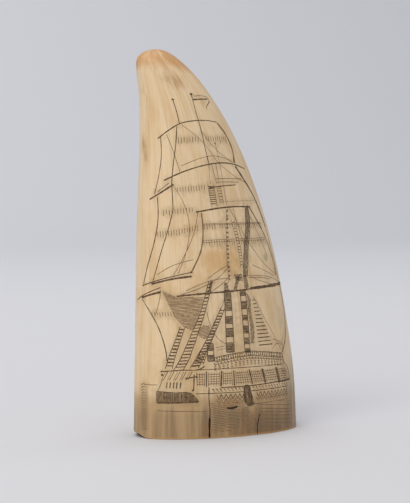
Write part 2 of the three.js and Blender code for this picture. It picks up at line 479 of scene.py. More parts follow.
def cutSparsAndSails():
    for line in ship["stays"]:
        cutLine(line, ship["fine"], "wornInk")
    for pole in ship["poles"]:
        cutLine(pole["line"], pole.get("width", ship["plain"]), pole.get("slot", "ink"))
        cutDot(*pole["line"][0], pole["ball"] * 1.3, pole["ball"])
    for yard in ship["yards"]:
        cutLine(yard["line"], yard["width"])
        if "balls" in yard:
            cutDot(*yard["line"][0], yard["balls"])
            cutDot(*yard["line"][-1], yard["balls"])
    for leech in ship["leeches"]:
        cutLine(leech["line"], leech["width"], leech.get("slot", "ink"))
    for arc in ship["arcs"]:
        cutLine(arc, ship["fine"], "wornInk")
    for reef in ship["reefs"]:
        cutTicks(reef["line"], 1.15, reef["long"], reef["lean"])
        if "band" in reef:
            cutLine(reef["line"], 0.2, "wornInk")
            cutLine([(s, z - reef["band"]) for s, z in reef["line"]], 0.2, "wornInk")


# spars drawn as two edges with something between them
spars = {
    "gaff": {"left": [(13.4, 94.8), (11.6, 87), (9.2, 79), (7.6, 72), (6.6, 66)],
             "right": [(15.2, 94.8), (14.2, 87), (11.4, 79), (9.9, 72), (8.4, 66)], "spacing": 0.55},
    "topmast": {"left": [(3, 94), (1.4, 86), (0.2, 78), (-0.6, 70), (-0.9, 64)],
                "right": [(4, 94), (2.6, 86), (1.4, 78), (0.6, 70), (0.2, 64)], "blocks": 17},
    "mizzenLadder": {"left": [(4.6, 90), (5.2, 84), (5.7, 78), (5.8, 70)],
                     "right": [(6, 90), (6.6, 84), (7.2, 78), (7, 70)], "spacing": 1.25},
    "mainLadder": {"left": [(-3.4, 104.4), (-3.6, 95.6)], "right": [(-0.7, 104.4), (-1, 95.6)],
                   "spacing": 0.85},
    "sideLadder": {"left": [(0.7, 104), (0.5, 96)], "right": [(2.3, 104), (2.2, 96)], "spacing": 1.1},
    # lower masts: heights where the dark wooldings start and stop
    "lowerMasts": [
        {"left": [(-3.5, 61), (-4.8, 35.4)], "right": [(-0.6, 61), (-1.2, 35.4)],
         "dark": [(61, 56.4), (56, 52.6), (50.2, 47.4), (45.4, 42), (39.2, 35.4)]},
        {"left": [(3.9, 61), (3.9, 35)], "right": [(6.6, 61), (6.5, 35)],
         "dark": [(61, 58.4), (56.2, 53), (50.4, 48.4), (46, 43), (41, 38.4), (36.4, 35)]},
        {"left": [(-13, 39.4), (-13.2, 32)], "right": [(-10.4, 39.4), (-10.4, 32)],
         "dark": [(39.2, 36.4), (34.4, 32)]},
    ],
    "mastShade": [(6.9, 60.5), (9, 57), (8.6, 51), (9.6, 45), (8.8, 38.4), (7, 38.4), (7.4, 46), (6.9, 52)],
    "tops": [
        [(-3.7, 60.6), (-1.1, 60.6), (-1.3, 64.2), (-3.2, 64.2)],
        [(-10.8, 60.4), (-9.2, 60.4), (-7.9, 65.4), (-9.2, 65)],
        [(0.8, 61), (2.6, 61), (4.8, 66.4), (3, 66.8)],
        [(6.2, 61.4), (8.8, 61.4), (8.4, 67), (6.2, 67)],
        [(2.6, 64.6), (6.4, 64.4), (6, 67.6), (1.6, 67.4)],
    ],
}


def cutMasts():
    gaff = spars["gaff"]
    cutLine(gaff["left"], ship["plain"])
    cutLine(gaff["right"], ship["plain"])
    for low, high in zip(alongPath(gaff["left"], gaff["spacing"]), alongPath(gaff["right"], gaff["spacing"])):
        cutLine([tuple(low), (high[0], high[1] + 0.9)], 0.34)
    topmast = spars["topmast"]
    count = topmast["blocks"]
    cutLine(topmast["left"], 0.2, "wornInk")
    for k in range(count):
        cutHatch(between(topmast["left"], topmast["right"], k / count, (k + 0.55) / count), 0.4, 0, 0.34)
    for name, slot in (("mizzenLadder", "wornInk"), ("mainLadder", "ink"), ("sideLadder", "wornInk")):
        ladder = spars[name]
        cutLadder(ladder["left"], ladder["right"], ladder["spacing"], 0.36, 0.2, slot, "wornInk")
    for mast in spars["lowerMasts"]:
        top, sill = mast["left"][0][1], mast["left"][-1][1]
        cutLine(mast["left"], ship["plain"])
        cutLine(mast["right"], ship["plain"])
        for high, low in mast["dark"]:
            share = lambda z: (top - z) / (top - sill)
            block = between(mast["left"], mast["right"], share(high), share(low))
            cutHatch(block, 0.42, 3, 0.34, outline=0.3)
    cutHatch(spars["mastShade"], 0.5, 70, 0.32)
    for shape in spars["tops"]:
        cutHatch(shape, 0.5, 25, 0.36)
    for s in np.arange(1.2, 22, 1.1):
        cutDot(float(s), 97.5 + handWork.uniform(-0.25, 0.25), 0.55, 0.4, "ink" if s < 7 else "wornInk")


shrouds = [
    {"left": [(-9.6, 65), (-12.8, 57), (-15.2, 51), (-18.6, 44.5), (-22, 38), (-25.5, 31.5), (-27.6, 28.6)],
     "right": [(-8, 65), (-11, 57), (-13.2, 51), (-16, 44.5), (-18.8, 38), (-21.8, 31.5), (-23.6, 28.8)],
     "spacing": 1.5, "rung": 0.5},
    {"left": [(-23.4, 46.6), (-26.4, 40), (-29.2, 34), (-31, 29)],
     "right": [(-21.4, 46.6), (-24.2, 40), (-26.6, 34), (-28.2, 29)], "spacing": 1.5, "rung": 0.55},
    {"left": [(-5.6, 54), (-9.4, 47.5), (-13, 41), (-17, 35), (-21, 29)],
     "right": [(-3.8, 54), (-7.2, 47.5), (-10.6, 41), (-13.4, 36), (-17.4, 29.3)],
     "spacing": 1.4, "rung": 0.55},
    {"left": [(9.4, 58), (10.4, 50), (10.6, 44), (11.2, 36)],
     "right": [(10.6, 58), (14, 50), (17, 43), (20, 36)], "spacing": 1.75, "rung": 0.42, "rail": 0},
    {"left": [(-15.4, 37), (-19, 31)], "right": [(-12.8, 36), (-15.4, 30.6)], "spacing": 1.3, "rung": 0.4},
]

hull = {
    "windowFoot": 21.7, "windowHead": 27.6,
    # pillars between the stern windows: place at the foot, place at the head, width
    "pillars": [(-14.3, -13.9, 0.5), (-8, -7.4, 0.75), (-1.9, -2, 0.7), (7, 5.4, 0.8), (14, 12, 1.0),
                (22.6, 20.2, 1.2)],
    "ends": (-18.9, 29),
    "paneRows": 6,
    "taffrail": [(-10.2, 32.6), (0, 34), (6, 34.4), (14, 33.7), (25.5, 32.2)],
    "zigzag": {"from": -10, "to": 28, "low": 16, "high": 18.2, "pitch": 2.1, "second": 1.7},
    "rudder": [(3, 21.3), (4.9, 21.3), (6.2, 18), (7.9, 13), (5, 12.5), (2.8, 14.5), (2.5, 18)],
    "wale": [(-35, 19.8), (-27, 19.3), (-22, 19.5), (-20, 18.6), (-17.6, 15.4), (-35, 15)],
    "gunports": [-30.6, -29.2, -27.8, -26.5, -25],
    "channels": [[(-32.6, 28), (-24, 28.6), (-16, 29.2), (-14.5, 30.2)], [(-22.6, 25.2), (-18.6, 25.8)]],
    "waterline": [(-35, 11.8), (-28, 11.7), (-14, 11.4)],
    "sea": [
        {"shape": [(-12.6, 15.5), (-6, 15), (-4, 9), (-6.5, 2.5), (-12.4, 2.5)], "lean": -12,
         "spacing": 0.95},
        {"shape": [(1.2, 12.4), (4.6, 12), (9.6, 6), (10.4, 1.2), (5, 1.2), (1.4, 6)], "lean": -18,
         "spacing": 0.7},
        {"shape": [(10, 9), (14, 9.6), (13.4, 2), (10.6, 2)], "lean": -25, "spacing": 1.3},
        {"shape": [(-4, 14.6), (1, 14.8), (1.4, 9), (0, 3), (-6, 2.5)], "lean": -8, "spacing": 1.3},
        {"shape": [(9, 13), (29, 13.2), (33, 8), (33, 3), (15, 2.4)], "lean": -6, "spacing": 1.5},
    ],
    "quarterShade": [(23.5, 27), (28.6, 26.4), (30, 22.4), (25, 22.2)],
    "herringbone": {"s": -41, "low": 3.5, "high": 22, "half": 1.5, "spacing": 1.15},
}


def cutHull():
    sill, head = hull["windowFoot"], hull["windowHead"]
    leftEnd, rightEnd = hull["ends"]
    edges = [(leftEnd, leftEnd, 0)] + hull["pillars"] + [(rightEnd, rightEnd - 1.4, 0)]
    for low, high, width in hull["pillars"]:
        cutLine([(low, sill - 0.4), (high, head + 0.4)], width)
    # panes: a rectangle of fine bars between each pair of pillars
    for a, b in zip(edges, edges[1:]):
        wide = b[0] - a[0]
        inset = min(0.9, wide * 0.16)
        left = [(a[0] + inset, sill), (a[1] + inset, head)]
        right = [(b[0] - inset, sill), (b[1] - inset, head)]
        cutLadder(left, right, (head - sill) / hull["paneRows"], 0.3, 0.32, "wornInk")
        for k in range(1, max(2, round(wide / 1.5))):
            share = k / max(2, round(wide / 1.5))
            low = left[0][0] + (right[0][0] - left[0][0]) * share
            high = left[1][0] + (right[1][0] - left[1][0]) * share
            cutLine([(low, sill + 0.2), (high, head - 0.2)], 0.26, "wornInk")
    cutLine([(leftEnd, 28.6), (0, 28.8), (26, 28.6)], 0.3)
    cutLine([(-8, 21), (6, 21), (20, 21.5), (30.5, 21.9)], 0.5)
    cutLine([(21, 21.3), (31, 21.6)], 0.7)
    cutLine([(leftEnd, 18.8), (2.6, 18.7)], 0.34)
    cutLine([(6, 18.8), (28.4, 19)], 0.34)
    cutLine([(8.4, 15.4), (28.5, 15.6)], 0.3, "wornInk")
    cutLine([(8, 13.2), (16, 13.4), (28, 13.6)], 0.3, "wornInk")
    cutLine([(-19.2, 26.8), (-19.7, 20)], 0.5)
    cutDot(-20, 20.2, 0.9)
    cutLine([(25.6, 32.4), (26.4, 29.5), (29, 27), (30.6, 22)], 0.4)
    # dashes under the windows, then the zigzag
    for s in np.arange(-12, 28, 1.7):
        cutLine([(float(s), 20.6), (float(s) + 1.0, 20.0)], 0.4)
        cutLine([(float(s) + 0.6, 19.8), (float(s) + 1.4, 19.3)], 0.3, "wornInk")
    zig = hull["zigzag"]
    count = round((zig["to"] - zig["from"]) / zig["pitch"])
    for k in range(count):
        s = zig["from"] + k * zig["pitch"]
        if 1.4 < s < 7.4:
            continue
        middle = (s + zig["pitch"] / 2, zig["low"])
        cutLine([(s, zig["high"]), middle], 0.34)
        cutLine([middle, (s + zig["pitch"], zig["high"])], 0.34)
        upper = [(s, zig["high"]), middle, (s + zig["pitch"], zig["high"])]
        cutLine([(a, b - zig["second"]) for a, b in upper], 0.3, "wornInk")
    cutHatch(hull["rudder"], 0.42, 96, 0.4, outline=0.4)
    cutHatch(hull["wale"], 0.46, 90, 0.36, outline=0.34)
    cutLine([(-35, 15), (-17.6, 15.4)], 0.6)
    for s in hull["gunports"]:
        cutLine([(s - 0.3, 20.9), (s + 0.2, 23.8)], 0.55, "wornInk" if s < -29 else "ink")
    for line in hull["channels"]:
        cutLine(line, 0.5)
        cutDot(*line[0], 0.9)
    cutDot(-32.4, 26.6, 1.2)
    cutDot(-18.3, 25.7, 1.0)
    for s in (-30.5, -28, -25.5, -23, -20.5):
        cutLine([(s + 0.6, 28), (s - 1.6, 24.4)], 0.24)
        cutLine([(s - 0.4, 28), (s - 2.4, 24.2)], 0.2, "wornInk")
    cutLine([(-32.2, 25), (-34, 21), (-34.6, 20)], 0.3, "wornInk")
    # taffrail: two rows of dots between two lines, and a row of wedges under them
    rail = hull["taffrail"]
    for lift in (0.95, -0.95):
        cutLine([(s, z + lift) for s, z in rail], 0.32)
    for lift in (0.42, -0.42):
        cutDots([(s, z + lift) for s, z in rail], 1.05, 0.72)
    for s, z in alongPath([(s, z - 2) for s, z in rail], 1.5):
        cutLine([(s - 0.4, z + 0.7), (s + 0.3, z - 0.5)], 0.5)
        cutLine([(s + 0.5, z + 0.4), (s + 1.0, z - 0.3)], 0.34, "wornInk")
    for drop, slot in ((3.0, "ink"), (3.7, "wornInk"), (4.4, "wornInk")):
        for s, z in alongPath([(s, z - drop) for s, z in rail], 1.9):
            cutLine([(s - 0.5, z + 0.25), (s + 0.6, z - 0.05)], 0.4, slot)
    cutLine(hull["waterline"], 0.3, "wornInk")
    cutLine([(-41, 22.3), (-34.6, 22.4)], 0.26, "wornInk")
    cutHatch(hull["quarterShade"], 0.9, 0, 0.3, "wornInk")
    for patch in hull["sea"]:
        cutHatch(patch["shape"], patch["spacing"], patch["lean"], ship["fine"], "wornInk")
    bone = hull["herringbone"]
    for z in np.arange(bone["low"], bone["high"], bone["spacing"]):
        cutLine([(bone["s"] - bone["half"], z), (bone["s"], z + 0.9)], 0.34, "wornInk")
        cutLine([(bone["s"] + 0.1, z + 0.9), (bone["s"] + bone["half"], z + 0.2)], 0.26, "wornInk")


# cracks: line, width at the foot
cracks = [
    {"line": [(-13.2, 21.5), (-13.3, 16), (-12.9, 12), (-13, 8)], "width": 0.4},
    {"line": [(-13, 9), (-13.1, 4), (-13, -2)], "width": 0.85},
    {"line": [(10.4, 9), (9.6, 4), (9.6, -2)], "width": 0.4},
    {"line": [(-5.6, 12.4), (-3, 12.2), (-0.4, 12.8)], "width": 0.8},
    {"line": [(22.6, 3), (22.4, -2)], "width": 0.25},
]

cutPennant()
cutSparsAndSails()
cutMasts()
for shroud in shrouds:
    cutLadder(shroud["left"], shroud["right"], shroud["spacing"], shroud["rung"], shroud.get("rail", 0.3))
for shade in ship["shades"]:
    cutHatch(shade["shape"], 0.55, shade["lean"], shade["width"], "wornInk")
cutHull()
for crack in cracks:
    cutLine(crack["line"], crack["width"], "crack", 0.9 if crack["line"][-1][1] < 0 else 0.25)
print("strokes cut:", len(strokes))


# the net of the skin: strokes first, then free points between them
def insideOutline(outline, spot):
    inside = False
    for (ax, ay), (bx, by) in zip(outline, outline[1:] + outline[:1]):
        if (ay > spot.y) != (by > spot.y) and spot.x < ax + (bx - ax) * (spot.y - ay) / (by - ay):
            inside = not inside
    return inside


def buildNet():
    points = []
    edges = []
    faces = []
    owners = []

    def addPoints(items):
        start = len(points)
        points.extend(Vector(p) for p in items)
        return list(range(start, len(points)))

    half = float(halfGirthAt(0))
    bottomCount = int(2 * half / foot["edgeSpacing"])
    bottomS = np.linspace(-half, half, bottomCount + 1)
    bottomZ = skin["footRound"] + chipAt(bottomS)
    sideZ = np.linspace(float(bottomZ[-1]), skin["crownFrom"], skin["seamPoints"])[1:-1]
    topHalf = float(halfGirthAt(skin["crownFrom"]))
    topS = np.linspace(topHalf, -topHalf, skin["crownPoints"])
    rightS = halfGirthAt(sideZ)
    outline = list(zip(bottomS, bottomZ)) + list(zip(rightS, sideZ))
    outline += [(s, skin["crownFrom"]) for s in topS]
    outline += list(zip(-rightS[::-1], sideZ[::-1]))
    faces.append(addPoints(outline))
    owners.append(None)
    taken = []
    for stroke in strokes:
        ring = addPoints(stroke["outline"])
        faces.append(ring)
        owners.append(stroke)
        taken.extend(stroke["outline"])
        if stroke["spine"]:
            spine = [addPoints([p])[0] for p in stroke["spine"]]
            edges.extend(zip(spine, spine[1:]))
            taken.extend(stroke["spine"])
    # free points, finer at the front, kept off the strokes
    near = KDTree(len(taken) + 1)
    for i, p in enumerate(taken):
        near.insert((p[0], p[1], 0), i)
    near.insert((0, -1000, 0), len(taken))
    near.balance()
    for spacing, inFront in ((skin["netSpacing"], True), (skin["backSpacing"], False)):
        rise = spacing * math.sqrt(3) / 2
        for j in range(1, int(skin["crownFrom"] / rise)):
            z = 0.9 + j * rise
            if z > skin["crownFrom"] - 0.5 * spacing:
                break
            reach = float(halfGirthAt(z)) - 0.6 * spacing
            count = int(reach / spacing) + 1
            for i in range(-count, count + 1):
                s = (i + (0.5 if j % 2 else 0)) * spacing
                front = abs(s) < skin["frontReach"]
                if abs(s) > reach or front != inFront or z < skin["footRound"] + chipAt(s) + 0.5:
                    continue
                if near.find((s, z, 0))[2] > 0.45 * spacing:
                    points.append(Vector((s, z)))
    outPoints, _, outFaces, _, _, fromFaces = geometry.delaunay_2d_cdt(points, edges, faces, 1, 1e-5, True)
    kept = []
    for face, origins in zip(outFaces, fromFaces):
        if 0 in origins:
            middle = (outPoints[face[0]] + outPoints[face[1]] + outPoints[face[2]]) / 3
            held = [owners[o] for o in origins if owners[o] and insideOutline(owners[o]["outline"], middle)]
            kept.append((face, held))
    return outPoints, kept, taken


netPoints, netFaces, strokePoints = buildNet()
print("net:", len(netPoints), "points,", len(netFaces), "triangles,", len(strokes), "strokes")


def cavityRing(spots, z):
    ring = []
    for x, y in spots:
        towards = Vector((x - foot["cavityMiddle"], y, 0)).normalized()
        wall = hitSolid(Vector((foot["cavityMiddle"] * mm, 0, z * mm)), towards)
        ring.append((wall.x / mm, wall.y / mm, z))
    return ring


def assembleSkin():
    used = sorted({i for face, _ in netFaces for i in face})
    place = {old: new for new, old in enumerate(used)}
    s = np.array([netPoints[i].x for i in used])
    z = np.array([netPoints[i].y for i in used])
    points, normals = onSkin(s, z)
    # a point is sunk when every face round it belongs to a stroke
    depth = np.zeros(len(used))
    bare = np.zeros(len(used), bool)
    faces = []
    slots = []
    edgeUse = {}
    for face, owned in netFaces:
        corners = [place[i] for i in face]
        slot = "ivory"
        if owned:
            deepest = max(owned, key=lambda k: k["depth"])
            slot = deepest["slot"]
            for c in corners:
                depth[c] = max(depth[c], deepest["depth"])
        else:
            bare[corners] = True
        faces.append(corners)
        slots.append(slot)
        for a, b in zip(corners, corners[1:] + corners[:1]):
            key = (min(a, b), max(a, b))
            edgeUse[key] = edgeUse.get(key, 0) + 1
    depth[bare] = 0
    girth = halfGirthAt(z)
    onRight = s > girth - 1e-3
    onLeft = s < -girth + 1e-3
    rim = np.zeros(len(used), bool)
    for (a, b), count in edgeUse.items():
        if count == 1:
            rim[[a, b]] = True
    # the seam up the back is closed by giving both sides the same corners
    leftAt = {round(float(z[i]), 3): i for i in np.flatnonzero(onLeft & rim)}
    weld = {int(i): int(leftAt[round(float(z[i]), 3)]) for i in np.flatnonzero(onRight & rim)}
    faces = [[weld.get(c, c) for c in face] for face in faces]
    bottom = [i for i in np.flatnonzero(rim & ~onRight & (z < 4)) if not (onLeft[i] and z[i] > 0.6)]
    bottom.sort(key=lambda i: s[i])
    top = [i for i in np.flatnonzero(rim & ~onRight & (z > skin["crownFrom"] - 1e-3))]
    top.sort(key=lambda i: s[i])
    points = points - normals * depth[:, None]
    allPoints = [tuple(p) for p in points]
    allNormals = [tuple(n) for n in normals]
    patch = ["skin"] * len(faces)

    def addRing(spots, ringNormals):
        start = len(allPoints)
        allPoints.extend(tuple(p) for p in spots)
        allNormals.extend(tuple(n) for n in ringNormals)
        return list(range(start, start + len(spots)))

    def bridge(low, high, slot, group):
        # low and high run the same way round; faces look out when low is the lower ring
        n = len(low)
        for i in range(n):
            j = (i + 1) % n
            faces.extend([[low[i], low[j], high[j]], [low[i], high[j], high[i]]])
            slots.extend([slot, slot])
            patch.extend([group, group])

    # crown
    ring = top
    share = s[top] / float(halfGirthAt(skin["crownFrom"]))
    for k in range(1, skin["crownRings"]):
        level = toothHeight - (math.sqrt(toothHeight - skin["crownFrom"]) * (1 - k / skin["crownRings"])) ** 2
        spots, ringNormals = onSkin(share * float(halfGirthAt(level)), np.full(len(share), level))
        upper = addRing(spots, ringNormals)
        bridge(ring, upper, "ivory", "skin")
        ring = upper
    apex = addRing([formPoints[-1, 0]], [(0, 0, 1)])[0]
    for i in range(len(ring)):
        faces.append([ring[i], ring[(i + 1) % len(ring)], apex])
        slots.append("ivory")
        patch.append("skin")

    # foot: the worn edge or the break, the flat cut, the cavity's lip and wall
    bottomS = s[bottom]
    lost = chipAt(bottomS)
    broken = lost > 0.05
    sunk = depth[bottom]
    base, outward = onSkin(bottomS, np.zeros(len(bottom)))
    outward[:, 2] = 0
    outward /= np.linalg.norm(outward, axis=1, keepdims=True)
    rough = np.array([handWork.uniform(-1, 1) for _ in bottom])
    ring = bottom
    worn = skin["footRound"]
    reach = foot["chipReach"]
    steps = [
        (0.3 * worn, lost + 0.3 * worn, 0.9),
        (worn, lost * 0.86, 0.75),
        (0.45 * reach, lost * 0.5 + 0.12 * rough * broken, 0.35),
        (reach, lost * 0, 0),
    ]
    for inwards, level, notch in steps:
        spots = base - outward * (inwards + sunk * notch)[:, None]
        spots[:, 2] = np.maximum(level, 0)
        lower = addRing(spots, -outward * 0.3 + np.array([0, 0, -1]))
        flatSlot = "cutRoot"
        start = len(faces)
        bridge(lower, ring, flatSlot, "foot")
        for f in range(start, len(faces)):
            if broken[((f - start) // 2) % len(bottom)] and inwards > 0.3:
                slots[f] = "brokenRoot"
        ring = lower
    spots = [(p[0], p[1]) for p in base]
    for level in foot["cavityLevels"]:
        lip = cavityRing(spots, max(level, 0.3))
        if level == 0:
            lip = [(x + o[0] * 0.25, y + o[1] * 0.25, 0.0) for (x, y, _), o in zip(lip, outward)]
        inner = addRing(lip, [(0, 0, -1)] * len(lip))
        bridge(inner, ring, "pulpWall" if level > 0 else "cutRoot", "pulp" if level > 0 else "foot")
        ring = inner
    roof = hitSolid(Vector((foot["cavityMiddle"] * mm, 0, 5 * mm)), Vector((0, 0, 1)))
    peak = addRing([(roof.x / mm, roof.y / mm, roof.z / mm)], [(0, 0, -1)])[0]
    for i in range(len(ring)):
        faces.append([ring[i], peak, ring[(i + 1) % len(ring)]][::-1])
        slots.append("pulpWall")
        patch.append("pulp")
    allPoints = np.array(allPoints)
    # places on the unrolled skin for every corner, the crown's and the foot's worked out from where they are
    around = np.zeros(len(allPoints))
    height = allPoints[:, 2].copy()
    around[:len(used)] = s
    height[:len(used)] = z
    later = np.arange(len(used), len(allPoints))
    turn = np.arctan2(allPoints[later, 0] - formMiddle(height[later]), -allPoints[later, 1])
    around[later] = turn / math.pi * halfGirthAt(height[later])
    return allPoints * mm, np.array(allNormals), faces, slots, patch, around, height


stains = {
    # on the unrolled skin, mm: s, z, half width, half height, strength
    "rubReach": 2.4,        # how far lampblack haze reaches round a cut
    "rubFull": 34,          # stroke corners within that reach that make it full
    "brown": [(-28, 119, 2.2, 5, 0.8), (-3, 147, 6, 5, 0.7), (6, 139, 5, 4, 0.5), (-19, 142, 4, 5, 0.4),
              (-4, 14, 5, 2.5, 0.8), (11, 1.8, 3, 2.5, 1.2), (-14, 3, 2.5, 5, 0.8), (60, 60, 14, 30, 0.5),
              (-62, 34, 12, 26, 0.5), (84, 100, 10, 20, 0.4), (17, 3, 26, 9, 0.9)],
    "ochre": [(-5, 73, 7, 6, 0.9), (3.5, 72, 2.2, 8, 0.7), (-9, 66, 5, 5, 0.4)],
    # dark olive brown low on the root: partly the root's own colour, partly painted shade
    "olive": [(18, 2, 24, 9, 1), (-2, 8, 12, 7, 0.8), (34, 16, 7, 16, 0.8), (-41, 12, 3, 12, 0.4),
              (50, 6, 20, 12, 0.9), (-74, 5, 20, 10, 0.6)],
    "green": [(21.5, 74, 1.6, 1.8, 1.3), (28, 48, 6, 7, 0.6), (-20, 9, 8, 6, 0.4), (24, 8, 12, 8, 0.4)],
}


def rubbedIn(s, z):
    near = KDTree(len(strokePoints))
    for i, p in enumerate(strokePoints):
        near.insert((p[0], p[1], 0), i)
    near.balance()
    full = stains["rubFull"]
    found = [len(near.find_range((a, b, 0), stains["rubReach"])) for a, b in zip(s, z)]
    return np.minimum(1.0, np.array(found) / full)


def stainedBy(kind, s, z):
    amount = np.zeros(len(s))
    for atS, atZ, halfWidth, halfHeight, strength in stains[kind]:
        away = ((s - atS) / halfWidth) ** 2 + ((z - atZ) / halfHeight) ** 2
        amount = np.maximum(amount, strength * np.exp(-away * 0.7))
    return amount


# flat map for baking, 0 to 1: the skin unrolled above, the foot and the cavity's wall below it
bakeMap = {
    "skinMiddle": 0.5, "skinFoot": 0.17, "skinWide": 190, "skinTall": 195,      # mm to one map side
    "footMiddle": (0.22, 0.075), "footWide": 190, "footTall": 320,
    "wallMiddle": 0.72, "wallWide": 0.5, "wallFoot": 0.01, "wallTall": 400,
}


def layOut(mesh, faces, patch, points, around, height):
    girths = halfGirthAt(height)
    turns = np.arctan2(points[:, 1], points[:, 0] - foot["cavityMiddle"] * mm) / math.tau
    spots = []
    for face, group in zip(faces, patch):
        for c in face:
            if group == "skin":
                s = around[c]
                if s < 0 and max(around[k] for k in face) - s > girths[c]:      # over the seam up the back
                    s += 2 * girths[c]
                spots += [bakeMap["skinMiddle"] + s / bakeMap["skinWide"],
                          bakeMap["skinFoot"] + height[c] / bakeMap["skinTall"]]
            elif group == "foot":
                spots += [bakeMap["footMiddle"][0] + points[c][0] / mm / bakeMap["footWide"],
                          bakeMap["footMiddle"][1] + points[c][1] / mm / bakeMap["footTall"]]
            else:
                turn = turns[c]
                if turn < 0 and max(turns[k] for k in face) - turn > 0.5:
                    turn += 1
                spots += [bakeMap["wallMiddle"] + turn * bakeMap["wallWide"] - 0.01,
                          bakeMap["wallFoot"] + height[c] / bakeMap["wallTall"]]
    mesh.uv_layers.new(name="OFBake").data.foreach_set("uv", spots)


def buildSkin(materials):
    points, normals, faces, slots, patch, around, height = assembleSkin()
    names = list(materials)
    mesh = bpy.data.meshes.new("toothSkin")
    mesh.from_pydata([tuple(p) for p in points], [], faces)
    for name in names:
        mesh.materials.append(materials[name])
    mesh.polygons.foreach_set("material_index", [names.index(slot) for slot in slots])
    mesh.polygons.foreach_set("use_smooth", [True] * len(faces))
    faceNormals = [tuple(p.normal) for p in mesh.polygons]
    smooth = {}
    for face, group, normal in zip(faces, patch, faceNormals):
        if group == "pulp":
            for c in face:
                smooth[c] = smooth.get(c, np.zeros(3)) + np.array(normal)
    loops = []
    for face, slot, group, normal in zip(faces, slots, patch, faceNormals):
        for c in face:
            if group == "skin" and slot == "ivory":
                loops.append(tuple(normals[c]))
            elif group == "pulp":
                loops.append(tuple(smooth[c] / np.linalg.norm(smooth[c])))
            else:
                loops.append(normal)
    mesh.normals_split_custom_set(loops)
    layOut(mesh, faces, patch, points, around, height)
    # grain: the skin wrapped on an even round, so streaks follow the taper to the tip
    girth = float(halfGirthAt(0)) / math.pi
    share = around / np.maximum(halfGirthAt(height), 1e-6)
    grain = np.stack([girth * np.sin(share * math.pi), -girth * np.cos(share * math.pi), height], 1)
    layer = mesh.attributes.new("grain", "FLOAT_VECTOR", "POINT")
    layer.data.foreach_set("vector", grain.ravel())
    masks = {kind: stainedBy(kind, around, height) for kind in ("brown", "ochre", "olive", "green")}
    masks["rubbed"] = rubbedIn(around, height)
    for kind, amount in masks.items():
        layer = mesh.attributes.new(kind, "FLOAT", "POINT")
        layer.data.foreach_set("value", amount)
    piece = bpy.data.objects.new("toothSkin", mesh)
    bpy.context.scene.collection.objects.link(piece)
    return piece


def newMaterial(name, roughness, metallic=0.0, ior=1.54):
    material = bpy.data.materials.new(name)
    material.use_nodes = True
    tree = material.node_tree
    tree.nodes.clear()
    shader = addNode(tree, "ShaderNodeBsdfPrincipled",
                     inputs={"Metallic": metallic, "IOR": ior, "Roughness": roughness})
    addNode(tree, "ShaderNodeOutputMaterial", inputs={"Surface": shader})
    return material, tree, shader


def layeredMaterial(look):
    material, tree, shader = newMaterial(look["name"], look["roughness"][0])
    grain = addNode(tree, "ShaderNodeAttribute", {"attribute_name": "grain"}).outputs["Vector"]
    height = addNode(tree, "ShaderNodeSeparateXYZ", inputs={"Vector": grain}).outputs["Z"]
    patterns = {}
    for name, (across, along, detail) in look["patterns"].items():
        place = addNode(tree, "ShaderNodeVectorMath", {"operation": "MULTIPLY"},
                        {0: grain, 1: (1 / across, 1 / across, 1 / along)})
        patterns[name] = addNode(tree, "ShaderNodeTexNoise",
                                 inputs={"Vector": place, "Scale": 1, "Detail": detail, "Roughness": 0.6})
    colour = look["base"]
    for layer in look["layers"]:
        mask = layer.get("mask", 0)
        if isinstance(mask, tuple):
            mask = addNode(tree, "ShaderNodeMapRange", {"interpolation_type": "SMOOTHSTEP"},
                           {"Value": height, "From Min": mask[0], "From Max": mask[1]})
        elif mask:
            mask = addNode(tree, "ShaderNodeAttribute", {"attribute_name": mask}).outputs["Fac"]
        field = addNode(tree, "ShaderNodeMath", {"operation": "MULTIPLY_ADD"},
                        {0: patterns[layer["pattern"]], 1: layer.get("ragged", 1), 2: mask})
        amount = addNode(tree, "ShaderNodeMapRange", {"interpolation_type": "SMOOTHSTEP"},
                         {"Value": field, "From Min": layer["from"], "From Max": layer["to"],
                          "To Max": layer["amount"]})
        colour = addNode(tree, "ShaderNodeMixRGB",
                         inputs={"Fac": amount, "Color1": colour, "Color2": layer["colour"]})
    tree.links.new(colour.outputs[0], shader.inputs["Base Color"])
    rough = addNode(tree, "ShaderNodeMapRange",
                    inputs={"Value": patterns[look["roughBy"]], "From Min": 0.3, "From Max": 0.7,
                            "To Min": look["roughness"][0], "To Max": look["roughness"][1]})
    tree.links.new(rough.outputs[0], shader.inputs["Roughness"])
    relief = addNode(tree, "ShaderNodeBump", inputs={"Strength": 0.4, "Distance": look["relief"] * mm,
                                                     "Height": patterns[look["reliefBy"]]})
    tree.links.new(relief.outputs[0], shader.inputs["Normal"])
    return material, shader
